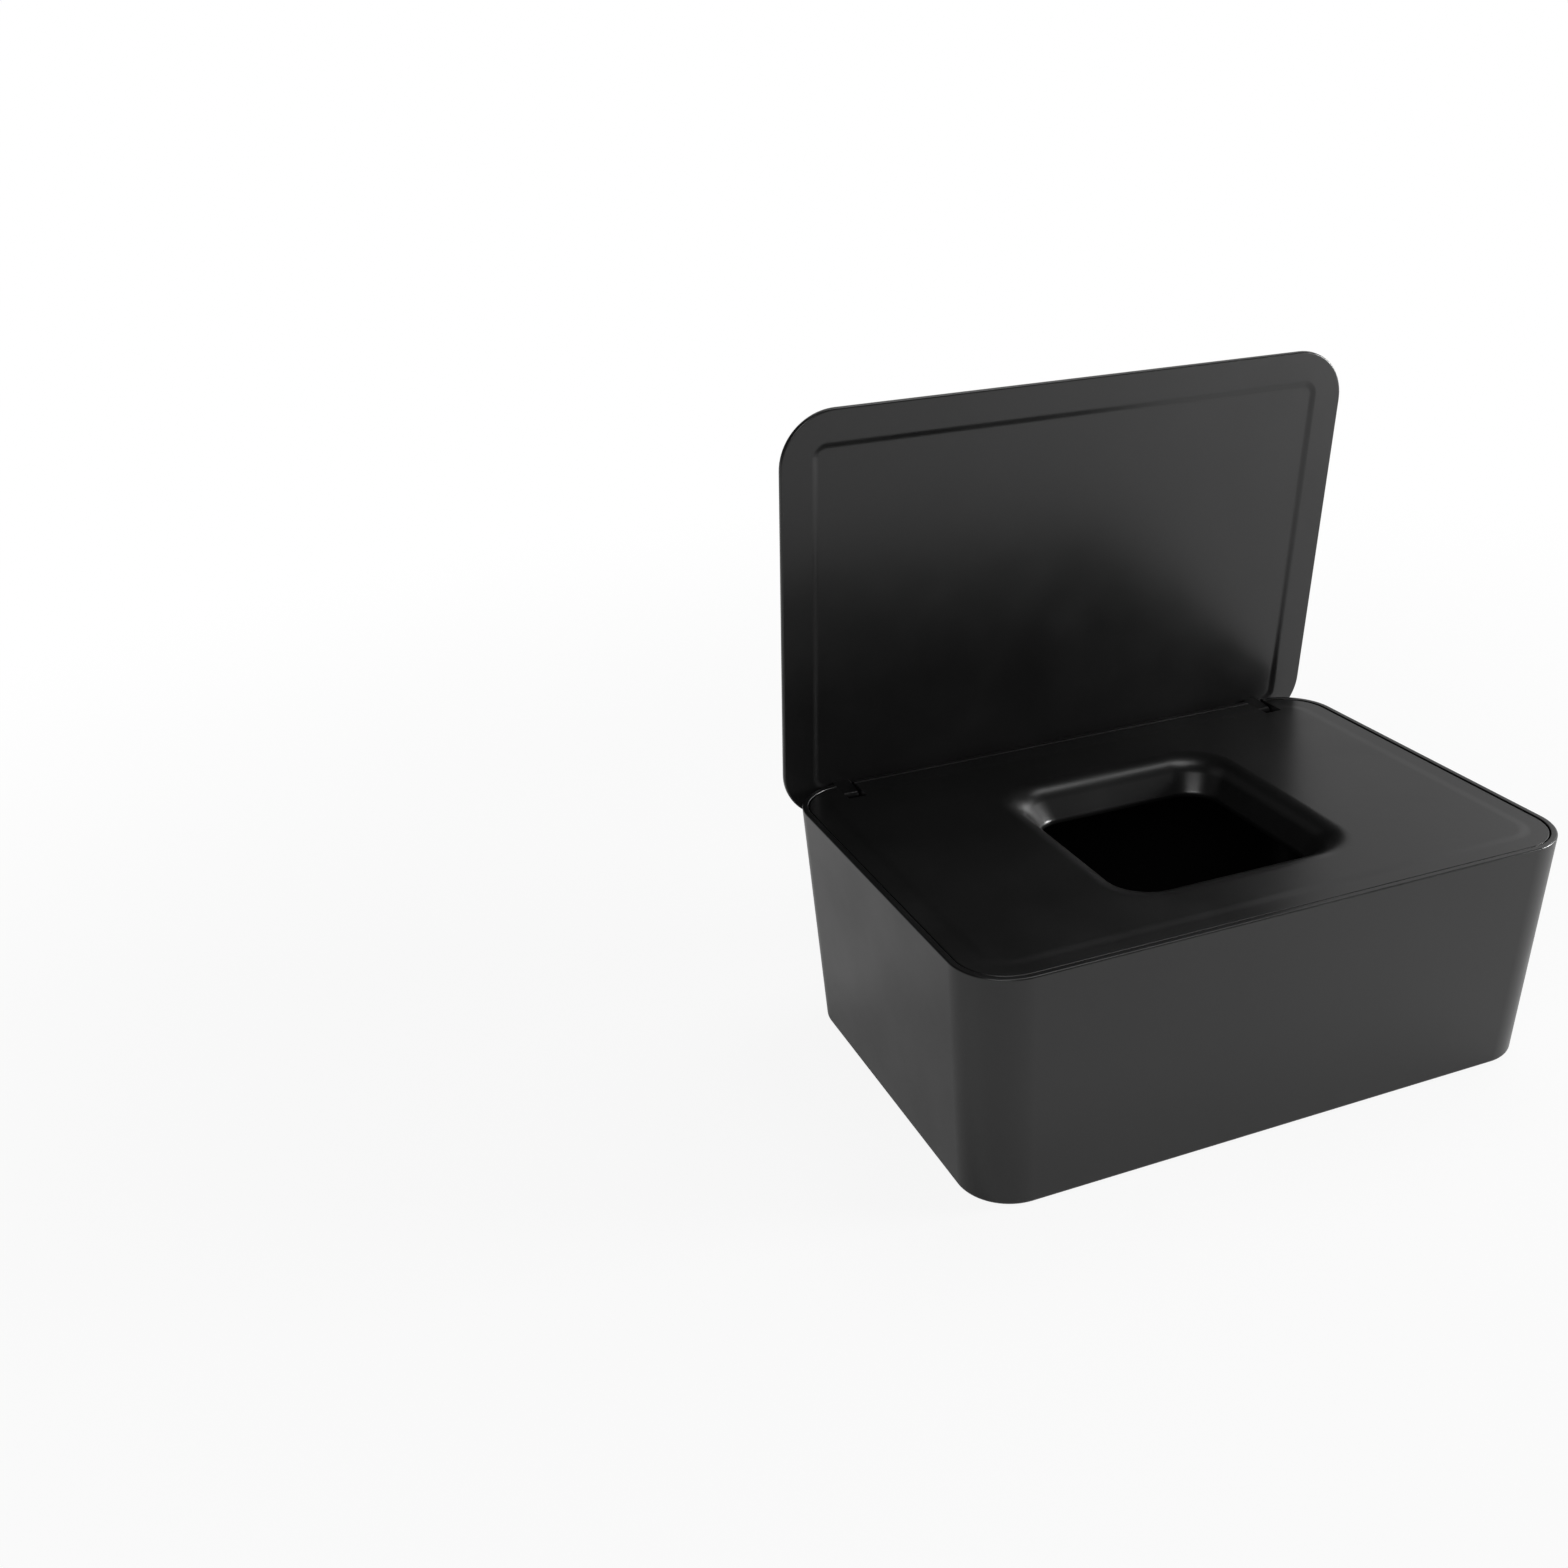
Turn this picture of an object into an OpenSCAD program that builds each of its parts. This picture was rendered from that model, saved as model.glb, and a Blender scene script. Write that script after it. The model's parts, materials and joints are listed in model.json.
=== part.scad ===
// Countertop wipes dispenser: a drafted box, a lift-out deck with a funnel opening,
// and a flip lid on two gooseneck arms that turn on pins under the deck.
// Millimetres. +X is the box's right, -Y its front and +Z up. The origin is the middle
// of the resting plane, under the foot pads. The lid stands open against its stop.

/* [Box] */
// Width of the box at its rim
box_w = 190; // [160:1:240]
// Depth of the box at its rim, front to back
box_d = 131; // [115:1:170]
// Height of the box shell, from its underside to its rim
shell_h = 72; // [60:1:110]
// Radius of the upright corners at the rim, seen from above
corner_r = 16.5; // [13:0.5:17.5]
// Radius of the upright corners at the base, seen from above
base_corner_r = 15; // [11:0.5:20]
// How far each end wall leans in, from rim to base
draft_x = 3.7; // [1:0.1:6]
// How far the front and back walls lean in, from rim to base
draft_y = 5; // [1:0.1:7]
// Thickness of the walls
wall_t = 1.8; // [1.4:0.1:2.4]
// Thickness of the floor
floor_t = 2; // [1.5:0.1:4]
// Radius of the outer edge round the underside
base_edge_r = 1.2; // [0.5:0.1:2]
// Radius of the inside edge where the walls meet the floor
floor_fillet_r = 3; // [1:0.5:5]
// Radius of the rim's two edges
rim_edge_r = 0.5; // [0.2:0.1:0.65]

/* [Support ribs] */
// Thickness of each rib that carries the deck
rib_t = 2; // [1.5:0.1:4]
// How far a rib's face stands inside the deck's skirt
rib_reach = 0.6; // [0.2:0.1:1.5]
// Distance between the two ribs on the front wall, and on the back wall
rib_span_x = 90; // [50:1:110]
// Distance between the two ribs on each end wall
rib_span_y = 50; // [30:1:70]
// Gap between a rib's top and the deck's skirt
rib_gap = 0.1; // [0.05:0.05:0.3]

/* [Foot pads] */
// Diameter of a pad
pad_d = 12; // [8:0.5:16]
// Thickness of a pad
pad_t = 1.8; // [1.4:0.1:2.4]
// Depth of the pocket that a pad sits in
pad_pocket = 0.8; // [0.4:0.1:1]
// Distance from the base's sides to a pad's middle
pad_inset = 20; // [15:1:30]

/* [Deck] */
// Gap between the deck's edge and the rim
deck_gap = 0.4; // [0.3:0.05:1]
// Thickness of the deck's plate at its border
deck_t = 1.9; // [1.6:0.1:2.6]
// Drop from the rim to the deck's border
deck_drop = 0.2; // [0.1:0.05:0.6]
// Radius of the deck's upper edge
deck_edge_r = 0.3; // [0.2:0.1:1.5]
// Height of the plateau above the deck's border
plateau_h = 0.15; // [0.1:0.05:0.45]
// Width of the border round the plateau
plateau_inset = 4.6; // [3:0.1:5.4]
// Width of the plateau's sloping edge
plateau_slope = 4; // [0.6:0.1:4]
// Step from the deck's edge in to its skirt
skirt_inset = 0.8; // [0.4:0.1:1.2]
// Thickness of the skirt
skirt_t = 1.6; // [1.2:0.1:2.4]
// Height of the skirt below the plate
skirt_h = 4.8; // [3:0.1:7]

/* [Funnel opening] */
// Width of the mouth, where the deck starts to curve in
mouth_w = 81; // [74:0.5:96]
// Depth of the mouth, front to back
mouth_d = 84; // [74:0.5:90]
// Corner radius of the mouth, seen from above
mouth_corner_r = 15; // [12:0.5:20]
// Width of the throat, at the lip
throat_w = 61.4; // [52:0.2:64]
// Depth of the throat, front to back
throat_d = 60; // [52:0.2:64]
// Corner radius of the throat
throat_corner_r = 10; // [7:0.5:13]
// Depth of the lip below the plateau
funnel_depth = 8.8; // [7.6:0.1:11]
// Radius of the rounding between the plateau and the funnel's wall
mouth_fillet_r = 8; // [3:0.5:9]
// Height of the upright lip
lip_h = 1.5; // [0.8:0.1:3]
// Thickness of the lip and of the funnel's wall
funnel_wall = 1.8; // [1.4:0.1:2.4]
// Distance of the funnel's middle behind the deck's middle (in front if negative)
funnel_y = -2; // [-6:0.5:0]

/* [Lid] */
// Overhang of the lid at each end of the box
lid_overhang_x = 0; // [0:0.1:1.5]
// Overhang of the lid at the front and the back of the box
lid_overhang_y = 0.5; // [0:0.1:1.5]
// Corner radius of the lid, seen from above
lid_corner_r = 17; // [13:0.5:22]
// Thickness of the lid at its border
lid_t = 2.6; // [2:0.1:3.6]
// Radius of the lid's outer edge
lid_edge_r = 1.2; // [0.6:0.1:1.8]
// Width of the border round the recess on the lid's underside
lid_border = 9.2; // [8:0.1:14]
// Depth of the recess on the lid's underside
recess_h = 0.6; // [0.4:0.1:1.4]
// Width of the recess's sloping edge
recess_slope = 2.2; // [0.5:0.1:2.8]
// Corner radius of the recess
recess_corner_r = 5; // [3:0.5:10]
// Gap between the closed lid's border and the rim
lid_gap = 0.4; // [0.3:0.05:0.8]

/* [Hinge] */
// How far the lid opens, from closed, until its arms meet the back wall
lid_angle = 83.5; // [70:0.5:95]
// Distance from the back of the box in to the hinge axis
axis_inset = 5.1; // [5:0.1:6.5]
// Depth of the hinge axis below the closed lid's underside
axis_depth = 7.5; // [7:0.1:9]
// Distance from the end of the box in to the middle of each arm
arm_inset = 19; // [19:0.5:35]
// Thickness of an arm, along the hinge axis
arm_t = 5.4; // [3:0.1:7]
// Width of an arm's band, across the bend
arm_band = 3.6; // [2.6:0.1:4]
// How far an arm's elbow stands in front of the axis, lid closed
elbow_reach = 4.3; // [4:0.1:5.5]
// How far an arm's elbow stands above the axis, lid closed
elbow_rise = 0.8; // [0:0.1:1.5]
// How far the elbow's round swells past the band
elbow_swell = 0.2; // [0.1:0.1:0.4]
// Radius of the eye at an arm's lower end
eye_r = 2.4; // [2:0.1:2.6]
// Diameter of a hinge pin
pin_d = 2.2; // [1.5:0.1:2.6]
// Gap round a pin in an arm's eye, on the radius
eye_fit = 0.05; // [0.02:0.01:0.1]
// Gap round a pin in its lugs, on the radius
lug_fit = 0.02; // [0.01:0.01:0.05]
// Thickness of a lug, along the hinge axis
lug_t = 3; // [2:0.1:4]
// Gap on each side of an arm
arm_gap = 0.3; // [0.2:0.05:0.6]
// Gap between an arm and the floor of its notch in the back wall, lid open
stop_gap = 0.1; // [0.05:0.05:0.3]
// Room in front of an arm's elbow in its slot, lid closed
slot_room = 0.7; // [0.4:0.1:2]
// Room between the lid's underside and the back edges that it swings past
swing_room = 0.3; // [0.2:0.05:0.5]

/* [Hidden] */

// Steps in each rounded corner, and in each rounded edge
corner_steps = 10;
edge_steps = 4;
fillet_steps = 6;
// Overlap of fused shapes, and overrun of cutting shapes
fuse = 0.4;
past = 1;
pin_facets = 48;

// Heights
shell_z = pad_t - pad_pocket;
rim_z = shell_z + shell_h;
floor_z = shell_z + floor_t;
border_z = rim_z - deck_drop;
plateau_z = border_z + plateau_h;
plate_z = border_z - deck_t;
skirt_z = plate_z - skirt_h;
lip_z = plateau_z - funnel_depth;
lid_z = rim_z + lid_gap;

// Plan sizes
deck_in = wall_t + deck_gap;
skirt_in = deck_in + skirt_inset;
plateau_in = deck_in + plateau_inset;
lid_w = box_w + 2 * lid_overhang_x;
lid_d = box_d + 2 * lid_overhang_y;

// Hinge
arm_x = box_w / 2 - arm_inset;
axis_y = box_d / 2 - axis_inset;
axis_z = lid_z - axis_depth;
slot_w = arm_t + 2 * arm_gap;
elbow_r = arm_band / 2 + elbow_swell;
slot_front = axis_y - elbow_reach - elbow_r - slot_room;
swing_r = axis_depth - swing_room;
pin_l = slot_w + 2 * lug_t - 0.4;
// The arm's elbow with the lid open, how far the arm then sinks below it on its way
// through the back wall, and the notch's floor in that wall
elbow_y_open = axis_y - elbow_reach * cos(lid_angle) + elbow_rise * sin(lid_angle);
elbow_z_open = axis_z + elbow_reach * sin(lid_angle) + elbow_rise * cos(lid_angle);
arm_sink = arm_band / 2 / sin(lid_angle) + tan(lid_angle - 90)
    * (box_d / 2 - (lid_angle < 90 ? wall_t : 0) - elbow_y_open);
notch_z = elbow_z_open - arm_sink - stop_gap;

// Share of the way up from base to rim, and the wall's lean there
function rise(z) = (z - shell_z) / shell_h;
function lean_x(z) = draft_x * (1 - rise(z));
function lean_y(z) = draft_y * (1 - rise(z));
function wall_corner(z) = base_corner_r + (corner_r - base_corner_r) * rise(z);

// A section is [width, depth, corner radius, height, y of its middle].
// wall_section is the box's outside at a height, drawn in by inset.
function wall_section(z, inset) =
    [box_w - 2 * (lean_x(z) + inset), box_d - 2 * (lean_y(z) + inset), wall_corner(z) - inset, z, 0];

// rim_section is the rim's outline drawn in by inset, and lid_section is the lid's.
function rim_section(z, inset) = [box_w - 2 * inset, box_d - 2 * inset, corner_r - inset, z, 0];
function lid_section(z, inset) = [lid_w - 2 * inset, lid_d - 2 * inset, lid_corner_r - inset, z, 0];
function recess_section(z, inset) =
    [lid_w - 2 * inset, lid_d - 2 * inset, recess_corner_r + lid_border - inset, z, 0];

// The mouth's rounding is at most what leaves a wall below it, which runs on from the
// rounding and meets the lip.
funnel_run = (mouth_w - throat_w) / 2;
least_wall = 0.95;
fillet_r = min(mouth_fillet_r, least_wall * (funnel_run ^ 2 + funnel_depth ^ 2) / 2 / funnel_depth);
funnel_line = norm([funnel_run, fillet_r - funnel_depth]);
wall_angle = asin(fillet_r / funnel_line) - atan2(fillet_r - funnel_depth, funnel_run);
// Share 0 is the throat's size and share 1 the mouth's.
function funnel_section(share, z, inset) =
    [throat_w + (mouth_w - throat_w) * share + 2 * inset,
     throat_d + (mouth_d - throat_d) * share + 2 * inset,
     throat_corner_r + (mouth_corner_r - throat_corner_r) * share + inset, z, funnel_y];
function fillet_share(a) = 1 - fillet_r * sin(a) / funnel_run;
function fillet_z(a) = plateau_z - fillet_r * (1 - cos(a));
under_z = plate_z + fuse;
under_share = (under_z - lip_z) / tan(wall_angle) / funnel_run;
wall_shift = funnel_wall / sin(wall_angle);

// Points round a rectangle with rounded corners
function corner(x, y, r, start, z) =
    [for (i = [0:corner_steps]) let (a = start + 90 * i / corner_steps) [x + r * cos(a), y + r * sin(a), z]];
function ring(s) =
    let (x = s[0] / 2 - s[2], y = s[1] / 2 - s[2])
    concat(corner(x, s[4] + y, s[2], 0, s[3]), corner(-x, s[4] + y, s[2], 90, s[3]),
           corner(-x, s[4] - y, s[2], 180, s[3]), corner(x, s[4] - y, s[2], 270, s[3]));

// A solid through a stack of sections, lowest first
module loft(sections) {
    n = 4 * (corner_steps + 1);
    last = len(sections) - 1;
    points = [for (s = sections) for (p = ring(s)) p];
    sides = [for (k = [0:last - 1]) for (i = [0:n - 1])
        let (a = k * n + i, b = k * n + (i + 1) % n) for (t = [[a, a + n, b + n], [a, b + n, b]]) t];
    floor_face = [for (i = [0:n - 1]) i];
    top_face = [for (i = [0:n - 1]) last * n + n - 1 - i];
    polyhedron(points = points, faces = concat([floor_face], sides, [top_face]), convexity = 8);
}

// The box's outside, drawn in by inset, with its rounded edges
module box_outside(inset) {
    bottom = [for (i = [0:edge_steps]) let (a = 90 * i / edge_steps)
        wall_section(shell_z + base_edge_r * (1 - cos(a)), inset + base_edge_r * (1 - sin(a)))];
    top = [for (i = [0:edge_steps]) let (a = 90 * i / edge_steps)
        wall_section(rim_z - rim_edge_r * (1 - sin(a)), inset + rim_edge_r * (1 - cos(a)))];
    loft(concat(bottom, top));
}

// The space inside the box's walls, open at the top, with the rim's inner edge rounded
module box_inside() {
    bottom = [for (i = [0:edge_steps]) let (a = 90 * i / edge_steps)
        wall_section(floor_z + floor_fillet_r * (1 - cos(a)), wall_t + floor_fillet_r * (1 - sin(a)))];
    top = [for (i = [0:edge_steps]) let (a = 90 * i / edge_steps)
        wall_section(rim_z - rim_edge_r * (1 - sin(a)), wall_t - rim_edge_r * (1 - cos(a)))];
    mouth = [rim_section(rim_z + past, wall_t - rim_edge_r)];
    loft(concat(bottom, top, mouth));
}

// Upright ribs on the walls, whose tops carry the deck's skirt
module support_ribs() {
    face = skirt_in + skirt_t + rib_reach;
    rib_h = skirt_z - rib_gap - floor_z + fuse;
    intersection() {
        translate([0, 0, floor_z - fuse]) {
            for (x = [-1, 1] * rib_span_x / 2, side = [-1, 1])
                translate([x - rib_t / 2, side > 0 ? box_d / 2 - face : -box_d / 2, 0])
                    cube([rib_t, face, rib_h]);
            for (y = [-1, 1] * rib_span_y / 2, side = [-1, 1])
                translate([side > 0 ? box_w / 2 - face : -box_w / 2, y - rib_t / 2, 0])
                    cube([face, rib_t, rib_h]);
        }
        box_outside(wall_t / 2);
    }
}

// What the lid's underside sweeps behind and above the hinge axis
module lid_swing() {
    difference() {
        translate([-box_w / 2 - past, axis_y, axis_z]) cube([box_w + 2 * past, axis_inset + past, axis_depth]);
        along_x(-box_w / 2 - 2 * past, box_w + 4 * past, swing_r, 96);
    }
}

// A round bar on the hinge axis, from x on
module along_x(x, length, r, facets) {
    translate([x, axis_y, axis_z]) rotate([0, 90, 0]) cylinder(h = length, r = r, $fn = facets);
}

// Foot pads, by the signs of their x and y
module pad_place(side, end, d, h) {
    translate([side * (box_w / 2 - draft_x - pad_inset), end * (box_d / 2 - draft_y - pad_inset), 0])
        cylinder(h = h, d = d, $fn = 64);
}

module box_shell() {
    color([0.16, 0.16, 0.165]) difference() {
        union() {
            difference() {
                box_outside(0);
                box_inside();
            }
            support_ribs();
        }
        // notches that the arms pass through when the lid is open
        for (side = [-1, 1])
            translate([side * arm_x - slot_w / 2, axis_y, notch_z])
                cube([slot_w, box_d / 2 - axis_y + past, rim_z - notch_z + past]);
        lid_swing();
        for (side = [-1, 1], end = [-1, 1]) pad_place(side, end, pad_d, pad_t);
    }
}

// The plate: a border with a rounded edge, and the low plateau on it
module deck_plate() {
    edge = [for (i = [0:edge_steps]) let (a = 90 * i / edge_steps)
        rim_section(border_z - deck_edge_r * (1 - sin(a)), deck_in + deck_edge_r * (1 - cos(a)))];
    loft(concat([rim_section(plate_z, deck_in)], edge));
    loft([rim_section(border_z - fuse, plateau_in), rim_section(border_z, plateau_in),
          rim_section(plateau_z, plateau_in + plateau_slope)]);
}

module deck_skirt() {
    difference() {
        loft([rim_section(skirt_z, skirt_in), rim_section(plate_z + fuse, skirt_in)]);
        loft([rim_section(skirt_z - past, skirt_in + skirt_t),
              rim_section(plate_z + fuse + past, skirt_in + skirt_t)]);
    }
}

// The funnel's wall below the plate, as a solid block, and the space down through it
module funnel_block() {
    loft([funnel_section(0, lip_z - lip_h, funnel_wall), funnel_section(0, lip_z, wall_shift),
          funnel_section(under_share, under_z, wall_shift)]);
}

module funnel_space() {
    fillet = [for (i = [fillet_steps:-1:0]) let (a = wall_angle * i / fillet_steps)
        funnel_section(fillet_share(a), fillet_z(a), 0)];
    loft(concat([funnel_section(0, lip_z - lip_h - past, 0), funnel_section(0, lip_z, 0)], fillet,
                [funnel_section(1, plateau_z + past, 0)]));
}

// Two lugs hang under the plate, one on each side of an arm, inside the skirt's outline
module hinge_lugs(side) {
    intersection() {
        for (end = [-1, 1]) {
            x = side * arm_x + end * (slot_w + lug_t) / 2 - lug_t / 2;
            along_x(x, lug_t, eye_r, pin_facets);
            translate([x, axis_y - eye_r, axis_z]) cube([lug_t, 2 * eye_r, plate_z + fuse - axis_z]);
        }
        loft([rim_section(axis_z - eye_r - past, skirt_in), rim_section(plate_z + fuse, skirt_in)]);
    }
}

module deck_cover() {
    color([0.10, 0.10, 0.105]) difference() {
        union() {
            deck_plate();
            deck_skirt();
            funnel_block();
            for (side = [-1, 1]) hinge_lugs(side);
        }
        funnel_space();
        for (side = [-1, 1]) {
            // the slot that an arm swings in, open at the deck's back edge
            translate([side * arm_x - slot_w / 2, slot_front, skirt_z - 2 * eye_r])
                cube([slot_w, box_d / 2 - slot_front, skirt_h + 2 * eye_r + deck_t + 2 * past]);
            along_x(side * arm_x - pin_l / 2, pin_l, pin_d / 2 + lug_fit, pin_facets);
        }
        lid_swing();
    }
}

// The lid as it lies when closed
module lid_plate() {
    under = [for (i = [0:edge_steps]) let (a = 90 * i / edge_steps)
        lid_section(lid_z + rim_edge_r * (1 - cos(a)), rim_edge_r * (1 - sin(a)))];
    over = [for (i = [0:edge_steps]) let (a = 90 * i / edge_steps)
        lid_section(lid_z + lid_t - lid_edge_r * (1 - sin(a)), lid_edge_r * (1 - cos(a)))];
    difference() {
        loft(concat(under, over));
        loft([recess_section(lid_z - past, lid_border), recess_section(lid_z, lid_border),
              recess_section(lid_z + recess_h, lid_border + recess_slope)]);
    }
}

// A gooseneck arm as it lies when the lid is closed: an eye on the pin, a short link
// forward to the elbow, and a link up through the slot into the lid
module lid_arm(side) {
    x = side * arm_x - arm_t / 2;
    elbow_y = axis_y - elbow_reach;
    elbow_z = axis_z + elbow_rise;
    link_l = norm([elbow_reach, elbow_rise]);
    difference() {
        union() {
            along_x(x, arm_t, eye_r, pin_facets);
            translate([x, axis_y, axis_z]) rotate([180 - atan2(elbow_rise, elbow_reach), 0, 0])
                translate([0, 0, -arm_band / 2]) cube([arm_t, link_l, arm_band]);
            translate([x, elbow_y, elbow_z]) rotate([0, 90, 0])
                cylinder(h = arm_t, r = elbow_r, $fn = pin_facets);
            translate([x, elbow_y - arm_band / 2, elbow_z])
                cube([arm_t, arm_band, lid_z + recess_h + fuse - elbow_z]);
        }
        along_x(x - past, arm_t + 2 * past, pin_d / 2 + eye_fit, pin_facets);
    }
}

// Turns the closed lid about the hinge axis
module opened(angle) {
    translate([0, axis_y, axis_z]) rotate([-angle, 0, 0]) translate([0, -axis_y, -axis_z]) children();
}

module flip_lid() {
    color([0.20, 0.20, 0.205]) opened(lid_angle) {
        lid_plate();
        for (side = [-1, 1]) lid_arm(side);
    }
}

module hinge_pin(side) {
    color([0.72, 0.73, 0.75]) along_x(side * arm_x - pin_l / 2, pin_l, pin_d / 2, pin_facets);
}

module foot_pad(side, end) {
    color([0.30, 0.30, 0.30]) pad_place(side, end, pad_d, pad_t);
}

box_shell();
deck_cover();
flip_lid();
hinge_pin(-1);  // hinge_pin_left
hinge_pin(1);  // hinge_pin_right
foot_pad(-1, -1);  // foot_pad_front_left
foot_pad(1, -1);  // foot_pad_front_right
foot_pad(-1, 1);  // foot_pad_back_left
foot_pad(1, 1);  // foot_pad_back_right
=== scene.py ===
"""The looks of a countertop wipes dispenser, standing open on a pale studio floor.

Lengths are millimetres until MM turns them into metres.
The axes are the frame's: +X is the box's right, -Y its front and +Z up.
"""

import json
import math

import bmesh
import bpy
from mathutils import Matrix, Vector


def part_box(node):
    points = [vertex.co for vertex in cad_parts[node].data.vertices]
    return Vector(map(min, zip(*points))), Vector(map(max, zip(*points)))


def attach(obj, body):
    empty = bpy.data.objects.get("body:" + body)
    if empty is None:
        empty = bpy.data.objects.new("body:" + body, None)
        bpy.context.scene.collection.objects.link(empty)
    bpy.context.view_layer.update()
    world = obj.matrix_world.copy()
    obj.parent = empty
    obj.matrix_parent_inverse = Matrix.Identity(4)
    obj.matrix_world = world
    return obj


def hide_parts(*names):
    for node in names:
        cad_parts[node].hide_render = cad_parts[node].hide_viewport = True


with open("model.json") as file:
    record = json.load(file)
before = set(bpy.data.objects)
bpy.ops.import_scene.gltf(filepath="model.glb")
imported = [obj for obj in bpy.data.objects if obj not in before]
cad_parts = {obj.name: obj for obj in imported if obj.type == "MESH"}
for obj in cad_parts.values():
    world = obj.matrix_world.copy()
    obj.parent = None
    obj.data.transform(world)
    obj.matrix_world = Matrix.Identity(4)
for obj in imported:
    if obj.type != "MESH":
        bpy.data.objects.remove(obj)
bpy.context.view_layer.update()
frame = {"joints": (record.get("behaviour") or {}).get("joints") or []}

MM = 0.001

# Box
BOX_W = 190
BOX_D = 131
CORNER_R = 16.5
BASE_CORNER_R = 15
DRAFT_X = 3.7
DRAFT_Y = 5
WALL_T = 1.8
FLOOR_T = 2
BASE_EDGE_R = 1.2
FLOOR_FILLET_R = 3
RIM_EDGE_R = 0.5
RIM_INNER_R = 0.25
SHELL_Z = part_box("box_shell")[0].z / MM
RIM_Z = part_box("box_shell")[1].z / MM
FLOOR_Z = SHELL_Z + FLOOR_T

# Ribs inside the box that carry the deck
RIB_T = 2
RIB_REACH = 0.6
RIB_SPAN_X = 90
RIB_SPAN_Y = 50
RIB_GAP = 0.1

# Foot pads
PAD_D = 12
PAD_T = 1.8
PAD_POCKET = 0.8
PAD_INSET = 20
PAD_EDGE_R = 0.5

# Deck
DECK_GAP = 0.4
DECK_IN = WALL_T + DECK_GAP
DECK_T = 1.9
DECK_DROP = 0.2
DECK_EDGE_R = 0.3
PLATEAU_H = 0.15
PLATEAU_INSET = 4.6
PLATEAU_SLOPE = 4
SKIRT_INSET = 0.8
SKIRT_IN = DECK_IN + SKIRT_INSET
SKIRT_T = 1.6
SKIRT_H = 4.8
BORDER_Z = RIM_Z - DECK_DROP
PLATEAU_Z = BORDER_Z + PLATEAU_H
PLATE_Z = BORDER_Z - DECK_T
SKIRT_Z = PLATE_Z - SKIRT_H

# Funnel opening
MOUTH_W = 81
MOUTH_D = 84
MOUTH_R = 15
THROAT_W = 61.4
THROAT_D = 60
THROAT_R = 10
FUNNEL_DEPTH = 8.8
FUNNEL_Y = -2
MOUTH_FILLET_R = 8
LIP_H = 1.5
LIP_EDGE_R = 0.3
FUNNEL_WALL = 1.8
LIP_Z = PLATEAU_Z - FUNNEL_DEPTH

# Lid, as it lies when closed
LID_GAP = 0.4
LID_OVERHANG_Y = 0.5
LID_W = BOX_W
LID_D = BOX_D + 2 * LID_OVERHANG_Y
LID_CORNER_R = 17
LID_T = 2.6
LID_EDGE_R = 1.3
LID_BORDER = 9.2
RECESS_H = 0.45
RECESS_SLOPE = 2.6
RECESS_CORNER_R = 5
LID_Z = RIM_Z + LID_GAP

# Hinge: its axis and travel are the frame's
HINGE = next(joint for joint in frame["joints"] if joint["name"] == "lid_hinge")
AXIS_Y = HINGE["pos_m"][1] / MM
AXIS_Z = HINGE["pos_m"][2] / MM
LID_ANGLE = math.radians(-HINGE["range_deg"][0])
ARM_INSET = 19
ARM_X = BOX_W / 2 - ARM_INSET
ARM_T = 5.4
ARM_BAND = 3.6
ARM_EDGE_R = 0.4
ELBOW_REACH = 4.3
ELBOW_RISE = 0.8
EYE_R = 2.4
EYE_BORE_R = 1.15
LUG_R = 2.1
LUG_T = 3
LUG_BORE_R = 1.12
PIN_CHAMFER = 0.2
ARM_GAP = 0.3
SLOT_W = ARM_T + 2 * ARM_GAP
SLOT_ROOM = 0.9
SLOT_FRONT = AXIS_Y - ELBOW_REACH - ARM_BAND / 2 - SLOT_ROOM
STOP_GAP = 0.1
SWING_ROOM = 0.3
SWING_R = LID_Z - AXIS_Z - SWING_ROOM

# Steps in a quarter of an outline, and in a rounded edge
CORNER_STEPS = 20
EDGE_STEPS = 5
# Steps in the soft bends that show most, and in the smallest edges
SOFT_STEPS = 10
SMALL_STEPS = 2
ARM_EDGE_STEPS = 3
# Steps round a bar or bore, a lug, an arm's eye, and the arc that the lid sweeps
ROUND_STEPS = 64
LUG_STEPS = 24
EYE_STEPS = 30
SWING_STEPS = 24
# How far a cutting shape runs past what it cuts, and how close points are merged
PAST = 2
WELD = 0.002
# Edges sharper than this angle, in degrees, stay sharp
SHARP_ANGLE = 38
SWAP_XY = Matrix(((0, 1, 0, 0), (1, 0, 0, 0), (0, 0, 1, 0), (0, 0, 0, 1)))

# Camera: turns in degrees, place and lens in millimetres, shift in shares of the frame
CAMERA_AZIMUTH = -21.48
CAMERA_ELEVATION = 22.617
CAMERA_ROLL = -2.35
CAMERA_DISTANCE = 512.5
CAMERA_SIDEWAYS = -96.3
CAMERA_UPWARDS = 53.5
CAMERA_LENS = 38.853
CAMERA_SENSOR = 36
CAMERA_SHIFT_X = -0.0383
CAMERA_SHIFT_Y = -0.0244

# Studio, in metres. The floor is whiter further out, and its white shows in reflections by FLOOR_GLOSS.
FLOOR_SIZE = 6
FLOOR_COLOUR = (0.86, 0.86, 0.86, 1)
FLOOR_GLOSS = 0.2
NEAR_REACH = 0.2
NEAR_WHITE = 0.9
FAR_REACH = 0.7
FAR_WHITE = 1
WHITE = (1, 1, 1, 1)
# Light from the horizon and from overhead, and the heights between which one turns into the other
WALL_LIGHT = 0.06
WALL_TOP = 0.25
CEILING_LIGHT = 0.03
CEILING_EDGE = 0.8
# What most lamps face
MIDDLE = (0, 0, 0.06)


# ---------------------------------------------------------------- outlines and profiles


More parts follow.
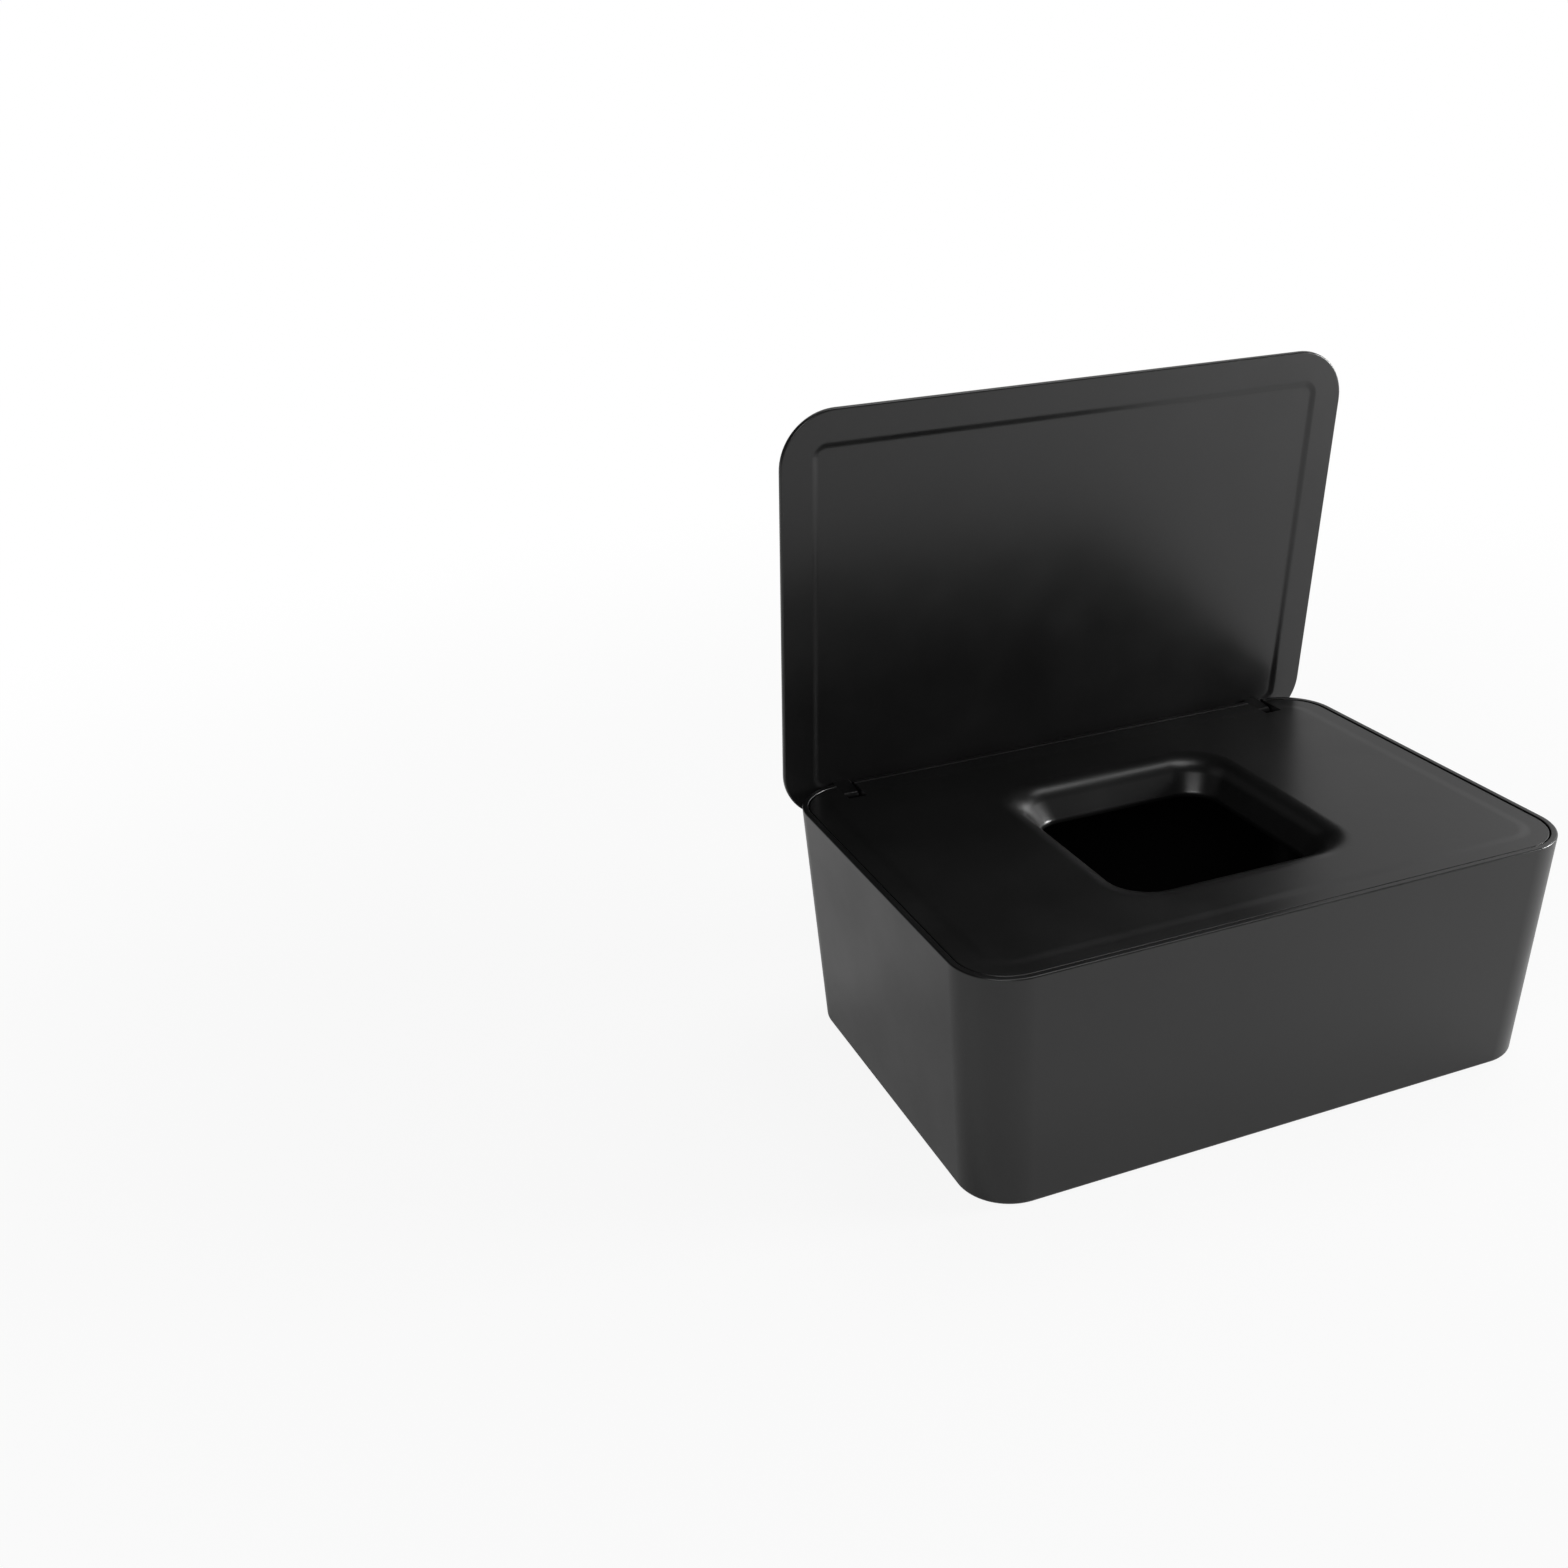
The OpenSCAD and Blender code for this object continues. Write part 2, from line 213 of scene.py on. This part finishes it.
def outline(width, depth, radius, z, y=0.0):
    """Points round a rectangle with rounded corners, anticlockwise seen from above."""
    points = []
    for turn, (side, end) in enumerate(((1, 1), (-1, 1), (-1, -1), (1, -1))):
        for step in range(CORNER_STEPS + 1):
            angle = math.radians(90 * (turn + step / CORNER_STEPS))
            x = side * (width / 2 - radius) + radius * math.cos(angle)
            points.append(Vector((x, y + end * (depth / 2 - radius) + radius * math.sin(angle), z)))
    return points


def arc(across, up, radius, start, end, steps=EDGE_STEPS):
    """Points along an arc about (across, up), from start to end degrees. 90 degrees is up."""
    angles = [math.radians(start + (end - start) * step / steps) for step in range(steps + 1)]
    return [(across + radius * math.cos(a), up + radius * math.sin(a)) for a in angles]


def circle(across, up, radius):
    """Points round a circle, the first not repeated."""
    return arc(across, up, radius, 0, 360, ROUND_STEPS)[:-1]


def ease(inset, z, run, rise, steps=SOFT_STEPS):
    """Points (inset, z) of a soft step that runs inwards and rises, level at both ends."""
    shares = [step / steps for step in range(steps + 1)]
    return [(inset + run * s, z + rise * (1 - math.cos(math.pi * s)) / 2) for s in shares]


def wall_outline(inset, z):
    """The box's leaning wall at height z, drawn in by inset."""
    low = 1 - (z - SHELL_Z) / (RIM_Z - SHELL_Z)
    width = BOX_W - 2 * (DRAFT_X * low + inset)
    depth = BOX_D - 2 * (DRAFT_Y * low + inset)
    radius = CORNER_R + (BASE_CORNER_R - CORNER_R) * low - inset
    return outline(width, depth, radius, z)


def rim_outline(inset, z):
    """The rim's outline, drawn in by inset."""
    return outline(BOX_W - 2 * inset, BOX_D - 2 * inset, CORNER_R - inset, z)


def lid_outline(inset, z):
    """The closed lid's outline, drawn in by inset."""
    return outline(LID_W - 2 * inset, LID_D - 2 * inset, LID_CORNER_R - inset, z)


def recess_outline(inset, z):
    """The outline of the recess in the lid, at inset from the lid's own."""
    radius = RECESS_CORNER_R + LID_BORDER - inset
    return outline(LID_W - 2 * inset, LID_D - 2 * inset, radius, z)


def funnel_outline(share, z, outset=0.0):
    """The funnel at a height, where share 0 is the throat's size and share 1 the mouth's."""
    width = THROAT_W + (MOUTH_W - THROAT_W) * share + 2 * outset
    depth = THROAT_D + (MOUTH_D - THROAT_D) * share + 2 * outset
    return outline(width, depth, THROAT_R + (MOUTH_R - THROAT_R) * share + outset, z, FUNNEL_Y)


# ---------------------------------------------------------------- mesh tools


def new_piece(name, mesh_edit):
    """An object at the origin whose mesh is the edited mesh in metres."""
    bmesh.ops.recalc_face_normals(mesh_edit, faces=mesh_edit.faces)
    mesh_edit.transform(Matrix.Scale(MM, 4))
    mesh = bpy.data.meshes.new(name)
    mesh_edit.to_mesh(mesh)
    mesh_edit.free()
    piece = bpy.data.objects.new(name, mesh)
    bpy.context.scene.collection.objects.link(piece)
    return piece


def loft(rings, joined=False):
    """A closed surface through rings of points. Its ends are capped, or joined to each other."""
    mesh_edit = bmesh.new()
    rows = [[mesh_edit.verts.new(point) for point in ring] for ring in rings]
    pairs = list(zip(rows, rows[1:] + rows[:1])) if joined else list(zip(rows, rows[1:]))
    for low, high in pairs:
        for i in range(len(low)):
            j = (i + 1) % len(low)
            mesh_edit.faces.new((low[i], low[j], high[j], high[i]))
    if not joined:
        mesh_edit.faces.new(rows[0])
        mesh_edit.faces.new(rows[-1])
    return mesh_edit


def prism(points, start, end):
    """A bar along X from start to end, whose cross-section is points (y, z)."""
    return loft([[Vector((x, y, z)) for y, z in points] for x in (start, end)])


def block(low, high):
    """A block between two corners."""
    points = [(low[1], low[2]), (high[1], low[2]), (high[1], high[2]), (low[1], high[2])]
    return prism(points, low[0], high[0])


def turned(profile, centre):
    """A closed surface turned about the upright axis through centre. profile is points (radius, z)."""
    return loft([[Vector((x, y, z)) for x, y in circle(*centre, radius)] for radius, z in profile])


def settle(piece):
    """Applies the piece's modifiers to its mesh."""
    graph = bpy.context.evaluated_depsgraph_get()
    mesh = bpy.data.meshes.new_from_object(piece.evaluated_get(graph))
    piece.modifiers.clear()
    old, piece.data = piece.data, mesh
    mesh.name = piece.name
    bpy.data.meshes.remove(old)


def combine(piece, mesh_edit, operation):
    """Joins the edited mesh to the piece, or cuts it out of the piece."""
    other = new_piece("tool", mesh_edit)
    modifier = piece.modifiers.new("combine", "BOOLEAN")
    modifier.operation = operation
    modifier.solver = "EXACT"
    modifier.object = other
    settle(piece)
    bpy.data.objects.remove(other)


def smooth(piece):
    """Shades the piece smoothly between its sharp edges, with its flats kept flat."""
    mesh_edit = bmesh.new()
    mesh_edit.from_mesh(piece.data)
    bmesh.ops.remove_doubles(mesh_edit, verts=mesh_edit.verts, dist=WELD * MM)
    bmesh.ops.dissolve_degenerate(mesh_edit, edges=mesh_edit.edges, dist=WELD * MM)
    for face in mesh_edit.faces:
        face.smooth = True
    for edge in mesh_edit.edges:
        edge.smooth = edge.calc_face_angle(math.pi) < math.radians(SHARP_ANGLE)
    mesh_edit.to_mesh(piece.data)
    mesh_edit.free()
    modifier = piece.modifiers.new("even_flats", "WEIGHTED_NORMAL")
    modifier.keep_sharp = True
    modifier.weight = 100


def dress(piece, body, material, slot, *nodes):
    """Gives a finished piece its shading, finish and body, and hides the nodes that it stands for."""
    smooth(piece)
    piece.data.materials.clear()
    piece.data.materials.append(material)
    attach(piece, body)
    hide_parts(*nodes)


# ---------------------------------------------------------------- shader tools


def feed(tree, node, inputs):
    """Gives each socket of the node its value, or a link from the output that feeds it."""
    for socket, value in inputs.items():
        if isinstance(value, bpy.types.NodeSocket):
            tree.links.new(value, node.inputs[socket])
        else:
            node.inputs[socket].default_value = value


def add_node(tree, kind, inputs, **settings):
    """Adds a shader node with its settings and inputs."""
    node = tree.nodes.new(kind)
    for setting, value in settings.items():
        setattr(node, setting, value)
    feed(tree, node, inputs)
    return node


def node_material(name):
    """A new material with its node tree and its shader."""
    material = bpy.data.materials.new(name)
    material.use_nodes = True
    tree = material.node_tree
    return material, tree, tree.nodes["Principled BSDF"]


def noise(tree, scale, detail=2.0, stretch=None):
    """A noise pattern that is fixed to the piece."""
    place = add_node(tree, "ShaderNodeTexCoord", {}).outputs["Object"]
    if stretch:
        place = add_node(tree, "ShaderNodeMapping", {"Vector": place, "Scale": stretch}).outputs["Vector"]
    pattern = add_node(tree, "ShaderNodeTexNoise", {"Vector": place, "Scale": scale, "Detail": detail})
    return pattern.outputs["Fac"]


def spread(tree, source, low, high):
    """Turns a pattern's values from about 0.3 to 0.7 into values from low to high."""
    span = {"Value": source, "From Min": 0.3, "From Max": 0.7, "To Min": low, "To Max": high}
    return add_node(tree, "ShaderNodeMapRange", span).outputs["Result"]


def bump(tree, source, height, strength):
    """A relief of the pattern, for a shader's normal. height is in metres."""
    relief = {"Height": source, "Distance": height, "Strength": strength}
    return add_node(tree, "ShaderNodeBump", relief).outputs["Normal"]


# ---------------------------------------------------------------- materials


def black_plastic():
    """Satin black moulded plastic, with a fine spark-eroded grain and a sheen that drifts a little."""
    material, tree, shader = node_material("black_plastic")
    tint = add_node(tree, "ShaderNodeMix", {
        "Factor": spread(tree, noise(tree, scale=18), 0, 1),
        "A": (0.0036, 0.0036, 0.0037, 1),
        "B": (0.0052, 0.0052, 0.0053, 1),
    }, data_type="RGBA")
    feed(tree, shader, {
        "Base Color": tint.outputs["Result"],
        "Roughness": spread(tree, noise(tree, scale=45, detail=4), 0.28, 0.34),
        "Normal": bump(tree, noise(tree, scale=2600, detail=3), height=0.012 * MM, strength=0.35),
        "IOR": 1.6,
    })
    return material


def pin_steel():
    """Ground steel, with fine lines along the pin."""
    material, tree, shader = node_material("pin_steel")
    lines = noise(tree, scale=900, detail=3, stretch=(0.05, 1, 1))
    feed(tree, shader, {
        "Base Color": (0.56, 0.57, 0.58, 1),
        "Metallic": 1,
        "Roughness": spread(tree, lines, 0.22, 0.38),
        "Normal": bump(tree, lines, height=0.004 * MM, strength=0.4),
    })
    return material


def pad_rubber():
    """Dull black rubber with a coarse grain."""
    material, tree, shader = node_material("pad_rubber")
    feed(tree, shader, {
        "Base Color": (0.03, 0.03, 0.03, 1),
        "Roughness": spread(tree, noise(tree, scale=300), 0.72, 0.88),
        "Normal": bump(tree, noise(tree, scale=1200), height=0.03 * MM, strength=0.5),
    })
    return material


# ---------------------------------------------------------------- box and foot pads


def notch_floor():
    """Height of the notches' floor in the back wall, just under the open arms, to a hundredth."""
    elbow_y = AXIS_Y - ELBOW_REACH * math.cos(LID_ANGLE) + ELBOW_RISE * math.sin(LID_ANGLE)
    elbow_z = AXIS_Z + ELBOW_REACH * math.sin(LID_ANGLE) + ELBOW_RISE * math.cos(LID_ANGLE)
    inner_face = BOX_D / 2 - WALL_T
    sink = ARM_BAND / 2 / math.sin(LID_ANGLE) - (inner_face - elbow_y) / math.tan(LID_ANGLE)
    return round(elbow_z - sink - STOP_GAP, 2)


def swing_cutter():
    """What the lid's underside sweeps behind and above the hinge axis."""
    back = BOX_D / 2 + PAST
    half = BOX_W / 2 + PAST
    section = arc(AXIS_Y, AXIS_Z, SWING_R, 0, 90, SWING_STEPS)
    section += [(AXIS_Y, LID_Z), (back, LID_Z), (back, AXIS_Z)]
    return prism(section, -half, half)


def rib_block(place, wall, draft):
    """A rib on the wall that stands at wall.

    Its face is upright, and its back lies in the middle of the leaning wall.
    """
    height = RIM_Z - SHELL_Z
    top = SKIRT_Z - RIB_GAP
    face = SKIRT_IN + SKIRT_T + RIB_REACH
    root = min(draft * (1 - FLOOR_T / 2 / height) + WALL_T / 2, face - RIB_REACH / 2)
    root_z = SHELL_Z + height * (1 - (root - WALL_T / 2) / draft)
    top_root = draft * (1 - (top - SHELL_Z) / height) + WALL_T / 2
    section = [(face, root_z), (root, root_z), (top_root, top), (face, top)]
    side = math.copysign(1, wall)
    points = [(wall - side * inset, z) for inset, z in section]
    return prism(points, place - RIB_T / 2, place + RIB_T / 2)


def pad_centre(side, end):
    """The middle (x, y) of a foot pad, by the signs of its x and y."""
    return (side * (BOX_W / 2 - DRAFT_X - PAD_INSET), end * (BOX_D / 2 - DRAFT_Y - PAD_INSET))


def box_moulding():
    """The box: leaning walls on a floor, with ribs, notches for the arms and pockets for the pads."""
    profile = arc(BASE_EDGE_R, SHELL_Z + BASE_EDGE_R, BASE_EDGE_R, 270, 180, SOFT_STEPS)
    profile += arc(RIM_EDGE_R, RIM_Z - RIM_EDGE_R, RIM_EDGE_R, 180, 90)
    profile += arc(WALL_T - RIM_INNER_R, RIM_Z - RIM_INNER_R, RIM_INNER_R, 90, 0)
    profile += arc(WALL_T + FLOOR_FILLET_R, FLOOR_Z + FLOOR_FILLET_R, FLOOR_FILLET_R, 180, 270)
    piece = new_piece("box_moulding", loft([wall_outline(inset, z) for inset, z in profile]))
    for side in (-1, 1):
        for rib in (-1, 1):
            combine(piece, rib_block(rib * RIB_SPAN_X / 2, side * BOX_D / 2, DRAFT_Y), "UNION")
            across = rib_block(rib * RIB_SPAN_Y / 2, side * BOX_W / 2, DRAFT_X)
            across.transform(SWAP_XY)
            combine(piece, across, "UNION")
    for side in (-1, 1):
        low = (side * ARM_X - SLOT_W / 2, AXIS_Y, notch_floor())
        high = (side * ARM_X + SLOT_W / 2, BOX_D / 2 + PAST, RIM_Z + PAST)
        combine(piece, block(low, high), "DIFFERENCE")
        for end in (-1, 1):
            pocket = [(PAD_D / 2, SHELL_Z - PAST), (PAD_D / 2, SHELL_Z + PAD_POCKET)]
            combine(piece, turned(pocket, pad_centre(side, end)), "DIFFERENCE")
    combine(piece, swing_cutter(), "DIFFERENCE")
    return piece


def foot_pad(name, side, end):
    """A rubber disc with a rounded lower edge."""
    radius = PAD_D / 2
    profile = arc(radius - PAD_EDGE_R, PAD_EDGE_R, PAD_EDGE_R, 270, 360) + [(radius, PAD_T)]
    return new_piece(name, turned(profile, pad_centre(side, end)))


# ---------------------------------------------------------------- deck


def funnel_rings():
    """The funnel's rings: the mouth's rounding, the wall, the upright lip, and back up the outside."""
    run = (MOUTH_W - THROAT_W) / 2
    drop = MOUTH_FILLET_R - FUNNEL_DEPTH
    slope = math.asin(MOUTH_FILLET_R / math.hypot(run, drop)) - math.atan2(drop, run)
    rings = []
    for step in range(2 * SOFT_STEPS + 1):
        angle = slope * step / (2 * SOFT_STEPS)
        share = 1 - MOUTH_FILLET_R * math.sin(angle) / run
        rings.append(funnel_outline(share, PLATEAU_Z - MOUTH_FILLET_R * (1 - math.cos(angle))))
    rings.append(funnel_outline(LIP_EDGE_R / run, LIP_Z + LIP_EDGE_R * math.tan(slope)))
    rings.append(funnel_outline(0, LIP_Z - LIP_EDGE_R))
    edge_z = LIP_Z - LIP_H + LIP_EDGE_R
    lip = arc(LIP_EDGE_R, edge_z, LIP_EDGE_R, 180, 270, SMALL_STEPS)
    lip += arc(FUNNEL_WALL - LIP_EDGE_R, edge_z, LIP_EDGE_R, 270, 360, SMALL_STEPS)
    rings += [funnel_outline(0, z, outset) for outset, z in lip]
    shift = FUNNEL_WALL / math.sin(slope)
    rings.append(funnel_outline(0, LIP_Z, shift))
    rings.append(funnel_outline((PLATE_Z - LIP_Z) / math.tan(slope) / run, PLATE_Z, shift))
    return rings


def hinge_lug(middle):
    """A lug under the plate, round about the hinge axis."""
    top = PLATE_Z + DECK_T / 2
    points = arc(AXIS_Y, AXIS_Z, LUG_R, 180, 360, LUG_STEPS)
    points += [(AXIS_Y + LUG_R, top), (AXIS_Y - LUG_R, top)]
    return prism(points, middle - LUG_T / 2, middle + LUG_T / 2)


def deck_moulding():
    """The deck: a plate with its plateau, funnel and skirt, and slots and bored lugs for the arms."""
    profile = [(DECK_IN, PLATE_Z)]
    profile += arc(DECK_IN + DECK_EDGE_R, BORDER_Z - DECK_EDGE_R, DECK_EDGE_R, 180, 90, SOFT_STEPS)
    profile += ease(DECK_IN + PLATEAU_INSET, BORDER_Z, PLATEAU_SLOPE, PLATEAU_H)
    rings = [rim_outline(inset, z) for inset, z in profile]
    rings += funnel_rings()
    inner = SKIRT_IN + SKIRT_T
    under = [(inner, PLATE_Z), (inner, SKIRT_Z), (SKIRT_IN, SKIRT_Z), (SKIRT_IN, PLATE_Z)]
    rings += [rim_outline(inset, z) for inset, z in under]
    piece = new_piece("deck_moulding", loft(rings, joined=True))
    for side in (-1, 1):
        for end in (-1, 1):
            middle = side * ARM_X + end * (SLOT_W + LUG_T) / 2
            combine(piece, hinge_lug(middle), "UNION")
        low = (side * ARM_X - SLOT_W / 2, SLOT_FRONT, AXIS_Z - 2 * LUG_T)
        high = (side * ARM_X + SLOT_W / 2, BOX_D / 2, RIM_Z + PAST)
        combine(piece, block(low, high), "DIFFERENCE")
        reach = SLOT_W / 2 + LUG_T + PAST
        bore = prism(circle(AXIS_Y, AXIS_Z, LUG_BORE_R), side * ARM_X - reach, side * ARM_X + reach)
        combine(piece, bore, "DIFFERENCE")
    combine(piece, swing_cutter(), "DIFFERENCE")
    return piece


# ---------------------------------------------------------------- lid and hinge pins


def arm_outline():
    """A gooseneck's outline (y, z), lid closed.

    An eye lies on the axis, a link runs forward from it to the elbow, and a riser goes up into the lid.
    """
    half = ARM_BAND / 2
    elbow = Vector((AXIS_Y - ELBOW_REACH, AXIS_Z + ELBOW_RISE))
    axis = Vector((AXIS_Y, AXIS_Z))
    along = (elbow - axis).normalized()
    down = Vector((-along.y, along.x))
    top = LID_Z + RECESS_H + (LID_T - RECESS_H) / 2
    points = [(elbow.x - half, top)]
    down_angle = math.degrees(math.atan2(down.y, down.x)) % 360
    points += arc(elbow.x, elbow.y, half, 180, down_angle, SOFT_STEPS)
    root = math.sqrt(EYE_R ** 2 - half ** 2)
    low = along * root + down * half
    high = along * root - down * half
    start = math.degrees(math.atan2(low.y, low.x)) % 360
    end = math.degrees(math.atan2(high.y, high.x)) % 360 + 360
    points += arc(axis.x, axis.y, EYE_R, start, end, EYE_STEPS)
    riser = elbow.x + half
    link_top = axis - down * half
    level = link_top.y + (riser - link_top.x) * along.y / along.x
    points += [(riser, level), (riser, top)]
    return points


def arm_mesh(x):
    """A gooseneck with softened edges, whose middle is at x."""
    arm = prism(arm_outline(), x - ARM_T / 2, x + ARM_T / 2)
    bmesh.ops.recalc_face_normals(arm, faces=arm.faces)
    edges = [edge for edge in arm.edges if abs(edge.verts[0].co.x - edge.verts[1].co.x) < ARM_T / 2]
    bmesh.ops.bevel(arm, geom=edges, offset=ARM_EDGE_R, segments=ARM_EDGE_STEPS, profile=0.5, affect="EDGES")
    return arm


def lid_moulding():
    """The lid, made as it lies when closed and then turned open: a panel with a recess, and two arms."""
    top = LID_Z + LID_T
    profile = arc(LID_EDGE_R, top - LID_EDGE_R, LID_EDGE_R, 90, 180, SOFT_STEPS)
    profile += arc(RIM_EDGE_R, LID_Z + RIM_EDGE_R, RIM_EDGE_R, 180, 270)
    rings = [lid_outline(inset, z) for inset, z in profile]
    rings += [recess_outline(inset, z) for inset, z in ease(LID_BORDER, LID_Z, RECESS_SLOPE, RECESS_H)]
    piece = new_piece("lid_moulding", loft(rings))
    for side in (-1, 1):
        x = side * ARM_X
        combine(piece, arm_mesh(x), "UNION")
        reach = ARM_T / 2 + PAST
        combine(piece, prism(circle(AXIS_Y, AXIS_Z, EYE_BORE_R), x - reach, x + reach), "DIFFERENCE")
    hinge = Vector((0, AXIS_Y, AXIS_Z)) * MM
    turn = Matrix.Rotation(-LID_ANGLE, 4, "X")
    piece.data.transform(Matrix.Translation(hinge) @ turn @ Matrix.Translation(-hinge))
    return piece


def hinge_pin(name, node):
    """A steel pin with chamfered ends, where its node lies."""
    low, high = (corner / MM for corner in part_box(node))
    radius = (high.z - low.z) / 2
    slim = radius - PIN_CHAMFER
    stations = [(low.x, slim), (low.x + PIN_CHAMFER, radius), (high.x - PIN_CHAMFER, radius), (high.x, slim)]
    rings = [[Vector((x, y, z)) for y, z in circle(AXIS_Y, AXIS_Z, r)] for x, r in stations]
    return new_piece(name, loft(rings))


# ---------------------------------------------------------------- studio


def camera():
    """The photograph's viewpoint: left of the front, looking down, with the box right of the middle."""
    azimuth = math.radians(CAMERA_AZIMUTH)
    elevation = math.radians(CAMERA_ELEVATION)
    roll = math.radians(CAMERA_ROLL)
    focus = Vector((0, 0, (SHELL_Z + RIM_Z) / 2))
    level = Vector((math.sin(azimuth), -math.cos(azimuth), 0))
    back = math.cos(elevation) * level + Vector((0, 0, math.sin(elevation)))
    right = (-back).cross(Vector((0, 0, 1))).normalized()
    up = right.cross(-back)
    tilted_right = math.cos(roll) * right + math.sin(roll) * up
    tilted_up = -math.sin(roll) * right + math.cos(roll) * up
    aside = tilted_right * CAMERA_SIDEWAYS + tilted_up * CAMERA_UPWARDS
    data = bpy.data.cameras.new("camera")
    data.sensor_width = CAMERA_SENSOR
    data.lens = CAMERA_LENS
    data.shift_x = CAMERA_SHIFT_X
    data.shift_y = CAMERA_SHIFT_Y
    data.clip_start = 0.01
    data.clip_end = 50
    view = bpy.data.objects.new("camera", data)
    turn = Matrix((tilted_right, tilted_up, back)).transposed().to_4x4()
    view.matrix_world = Matrix.Translation((focus + back * CAMERA_DISTANCE + aside) * MM) @ turn
    bpy.context.scene.collection.objects.link(view)
    bpy.context.scene.camera = view


def floor():
    """A pale floor that fades to white away from the object and keeps its soft shadow."""
    mesh_edit = bmesh.new()
    bmesh.ops.create_grid(mesh_edit, x_segments=1, y_segments=1, size=FLOOR_SIZE / MM)
    ground = new_piece("floor", mesh_edit)
    material = bpy.data.materials.new("floor")
    material.use_nodes = True
    tree = material.node_tree
    tree.nodes.clear()
    matt = add_node(tree, "ShaderNodeBsdfDiffuse", {"Color": FLOOR_COLOUR})
    white = add_node(tree, "ShaderNodeEmission", {"Color": WHITE})
    place = add_node(tree, "ShaderNodeTexCoord", {})
    reach = add_node(tree, "ShaderNodeVectorMath", {0: place.outputs["Object"]}, operation="LENGTH")
    fade = add_node(tree, "ShaderNodeMapRange", {
        "Value": reach.outputs["Value"],
        "From Min": NEAR_REACH,
        "From Max": FAR_REACH,
        "To Min": NEAR_WHITE,
        "To Max": FAR_WHITE,
    }, interpolation_type="SMOOTHSTEP")
    ray = add_node(tree, "ShaderNodeLightPath", {})
    seen = add_node(tree, "ShaderNodeMath", {
        0: ray.outputs["Is Camera Ray"],
        1: fade.outputs["Result"],
    }, operation="MULTIPLY")
    share = add_node(tree, "ShaderNodeMath", {
        0: ray.outputs["Is Glossy Ray"],
        1: FLOOR_GLOSS,
        2: seen.outputs[0],
    }, operation="MULTIPLY_ADD")
    mix = add_node(tree, "ShaderNodeMixShader", {
        "Fac": share.outputs[0],
        1: matt.outputs[0],
        2: white.outputs[0],
    })
    add_node(tree, "ShaderNodeOutputMaterial", {"Surface": mix.outputs[0]})
    ground.data.materials.append(material)


def sky():
    """White behind the object. As light it is a pale wall round the horizon under a dim ceiling."""
    world = bpy.data.worlds.new("studio")
    bpy.context.scene.world = world
    world.use_nodes = True
    tree = world.node_tree
    place = add_node(tree, "ShaderNodeTexCoord", {})
    split = add_node(tree, "ShaderNodeSeparateXYZ", {"Vector": place.outputs["Generated"]})
    fall = add_node(tree, "ShaderNodeMapRange", {
        "Value": split.outputs["Z"],
        "From Min": WALL_TOP,
        "From Max": CEILING_EDGE,
        "To Min": WALL_LIGHT,
        "To Max": CEILING_LIGHT,
    }, interpolation_type="SMOOTHSTEP")
    light = tree.nodes["Background"]
    feed(tree, light, {"Color": WHITE, "Strength": fall.outputs["Result"]})
    white = add_node(tree, "ShaderNodeBackground", {"Color": WHITE})
    ray = add_node(tree, "ShaderNodeLightPath", {})
    mix = add_node(tree, "ShaderNodeMixShader", {
        "Fac": ray.outputs["Is Camera Ray"],
        1: light.outputs[0],
        2: white.outputs[0],
    })
    feed(tree, tree.nodes["World Output"], {"Surface": mix.outputs[0]})


def softbox(name, place, target, size, power):
    """A square area light at place that faces target, both in metres."""
    data = bpy.data.lights.new(name, "AREA")
    data.shape = "SQUARE"
    data.size = size
    data.energy = power
    lamp = bpy.data.objects.new(name, data)
    lamp.visible_camera = False
    aim = Vector(target) - Vector(place)
    lamp.matrix_world = Matrix.Translation(place) @ aim.to_track_quat("-Z", "Y").to_matrix().to_4x4()
    bpy.context.scene.collection.objects.link(lamp)


# ---------------------------------------------------------------- the scene

plastic = black_plastic()
steel = pin_steel()
rubber = pad_rubber()

dress(box_moulding(), "box", plastic, "black_plastic", "box_shell")
dress(deck_moulding(), "deck", plastic, "black_plastic", "deck_cover")
dress(lid_moulding(), "lid", plastic, "black_plastic", "flip_lid")
for label, side in (("left", -1), ("right", 1)):
    pin = hinge_pin("pin_" + label, "hinge_pin_" + label)
    dress(pin, "deck", steel, "pin_steel", "hinge_pin_" + label)
    for row, end in (("front", -1), ("back", 1)):
        pad = foot_pad(f"pad_{row}_{label}", side, end)
        dress(pad, "box", rubber, "pad_rubber", f"foot_pad_{row}_{label}")

camera()
floor()
sky()
softbox("key", place=(1.4, -0.55, 0.32), target=(0.2, -0.2, 0), size=0.5, power=26)
softbox("left_fill", place=(-0.75, -0.95, 1.0), target=MIDDLE, size=0.9, power=6.5)
softbox("right_fill", place=(1.5, 0.5, 0.8), target=MIDDLE, size=1.0, power=4)
softbox("back_fill", place=(1.0, 2.0, 0.8), target=MIDDLE, size=2.4, power=7.5)
softbox("overhead", place=(0.4, 0.24, 1.2), target=MIDDLE, size=0.6, power=3.1)

bpy.context.scene.view_settings.view_transform = "Standard"
